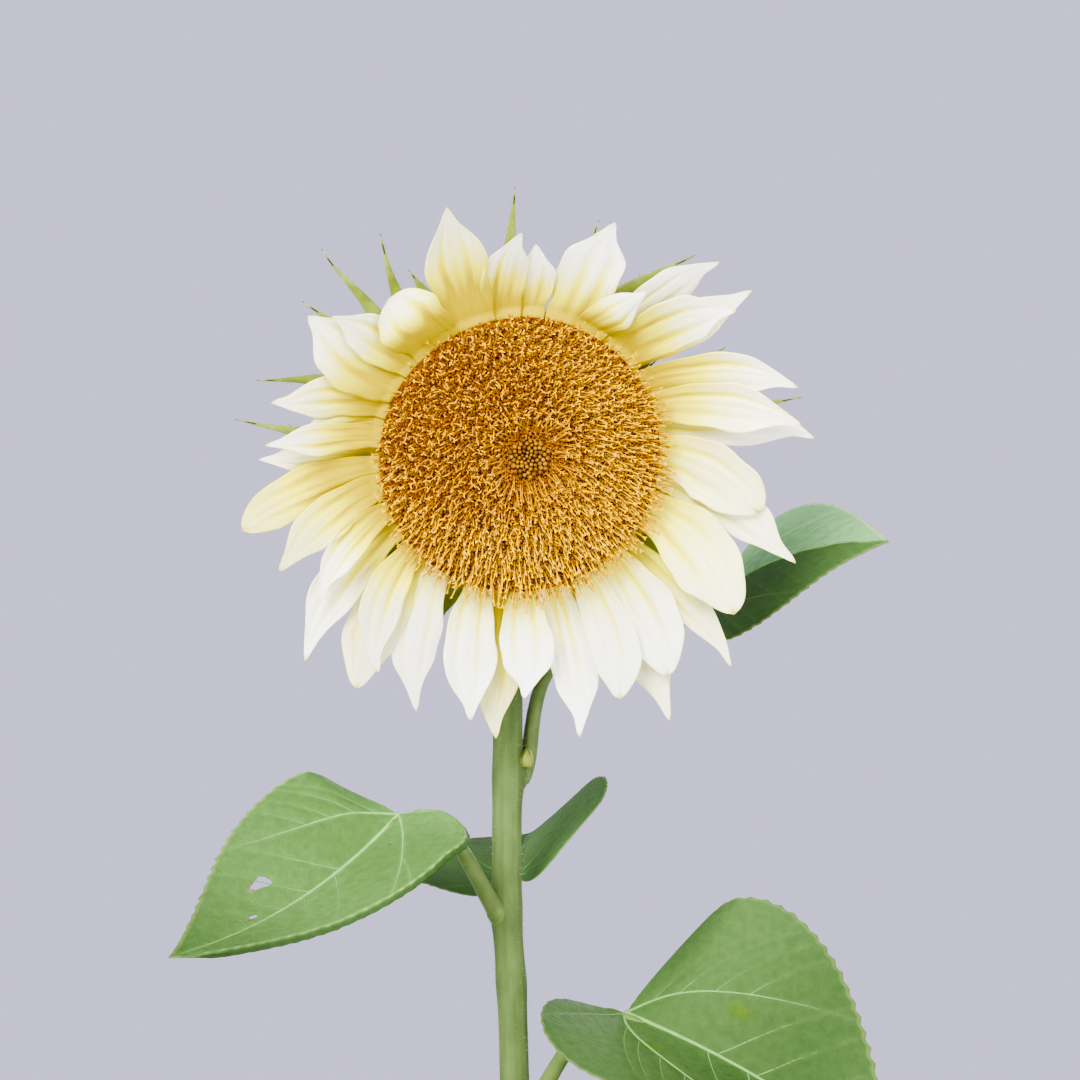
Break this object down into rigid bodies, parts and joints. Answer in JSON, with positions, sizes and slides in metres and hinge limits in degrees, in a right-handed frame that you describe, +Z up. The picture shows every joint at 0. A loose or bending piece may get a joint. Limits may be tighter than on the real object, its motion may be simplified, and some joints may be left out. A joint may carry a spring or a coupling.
{
  "type": "sunflower plant",
  "caption": "Rooted flowering plant: one tall stem with heart-shaped leaves and a nodding flower with pale ray petals around a golden seed disc.",
  "frame": {"origin": "centre of the flat cut under the main stem, at ground level", "axes": "+Z up; the flower faces -Y, turned a little to +X and nodding"},
  "size_m": [0.5083, 0.5163, 1.2941],
  "materials": {
    "stem_green": null,
    "leaf_green": "matt mid-green leaf with paler raised veins",
    "calyx_green": "yellow-green bracts with fine white hairs and dark thread tips",
    "disc_gold": "open golden florets over orange-brown gaps",
    "ray_cream": "thin cream-white petals with yellow bases"
  },
  "bodies": {
    "root": {"stem": "stem_green", "leaf_01": "leaf_green", "leaf_02": "leaf_green", "leaf_03": "leaf_green", "leaf_04": "leaf_green", "leaf_05": "leaf_green", "leaf_06": "leaf_green", "leaf_07": "leaf_green", "leaf_08": "leaf_green", "leaf_09": "leaf_green", "leaf_10": "leaf_green", "leaf_11": "leaf_green", "leaf_12": "leaf_green", "leaf_13": "leaf_green", "leaf_14": "leaf_green", "leaf_15": "leaf_green", "leaf_16": "leaf_green", "leaf_17": "leaf_green", "leaf_18": "leaf_green", "calyx": "calyx_green", "axillary_bud": "calyx_green", "seed_disc": "disc_gold", "ray_01": "ray_cream", "ray_02": "ray_cream", "ray_03": "ray_cream", "ray_04": "ray_cream", "ray_05": "ray_cream", "ray_06": "ray_cream", "ray_07": "ray_cream", "ray_08": "ray_cream", "ray_09": "ray_cream", "ray_10": "ray_cream", "ray_11": "ray_cream", "ray_12": "ray_cream", "ray_13": "ray_cream", "ray_14": "ray_cream", "ray_15": "ray_cream", "ray_16": "ray_cream", "ray_17": "ray_cream", "ray_18": "ray_cream", "ray_19": "ray_cream", "ray_20": "ray_cream", "ray_21": "ray_cream", "ray_22": "ray_cream", "ray_23": "ray_cream", "ray_24": "ray_cream", "ray_25": "ray_cream", "ray_26": "ray_cream", "ray_27": "ray_cream", "ray_28": "ray_cream", "ray_29": "ray_cream", "ray_30": "ray_cream", "ray_31": "ray_cream", "ray_32": "ray_cream", "ray_33": "ray_cream", "ray_34": "ray_cream", "ray_35": "ray_cream", "ray_36": "ray_cream"}
  },
  "joints": []
}
